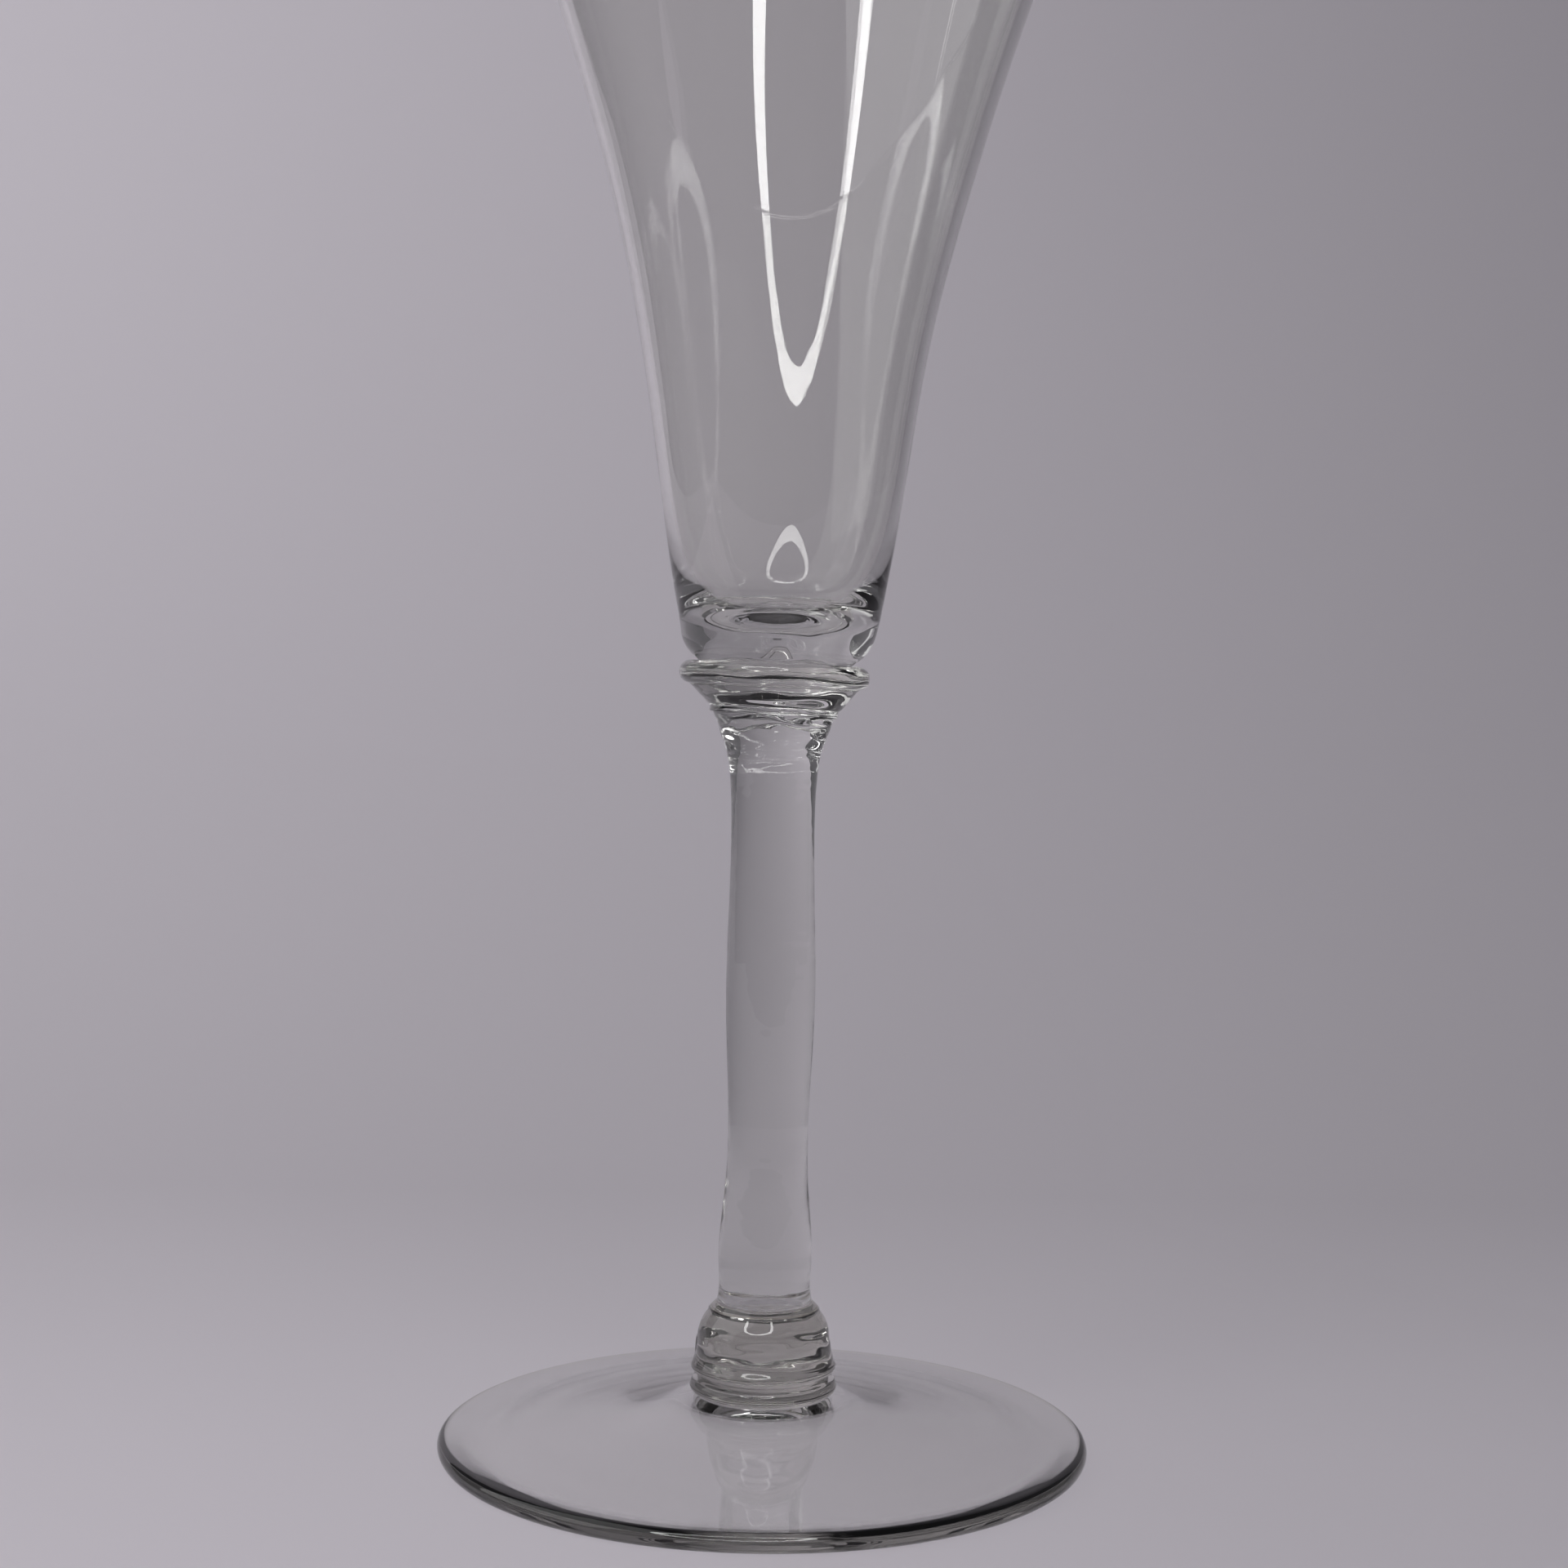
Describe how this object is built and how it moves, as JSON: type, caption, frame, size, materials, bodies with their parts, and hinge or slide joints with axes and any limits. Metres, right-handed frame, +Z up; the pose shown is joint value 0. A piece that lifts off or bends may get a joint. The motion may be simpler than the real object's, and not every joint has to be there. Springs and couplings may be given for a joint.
{
  "type": "champagne flute",
  "caption": "Clear glass champagne flute: flared trumpet bowl on a collared solid stem with a knop above a spread round foot.",
  "frame": {"origin": "centre of the foot's underside, on the plane that the glass stands on", "axes": "+Z up along the stem, from the foot to the rim; X and Y are any two directions across the foot"},
  "size_m": [0.07, 0.07, 0.18],
  "materials": {
    "clear_glass": "fire-polished clear glass with a faint grey-olive cast where it is thick"
  },
  "bodies": {
    "root": {"foot": "clear_glass", "foot_button": "clear_glass", "base_knop": "clear_glass", "stem": "clear_glass", "collar_cone": "clear_glass", "collar": "clear_glass", "bowl": "clear_glass"}
  },
  "joints": []
}
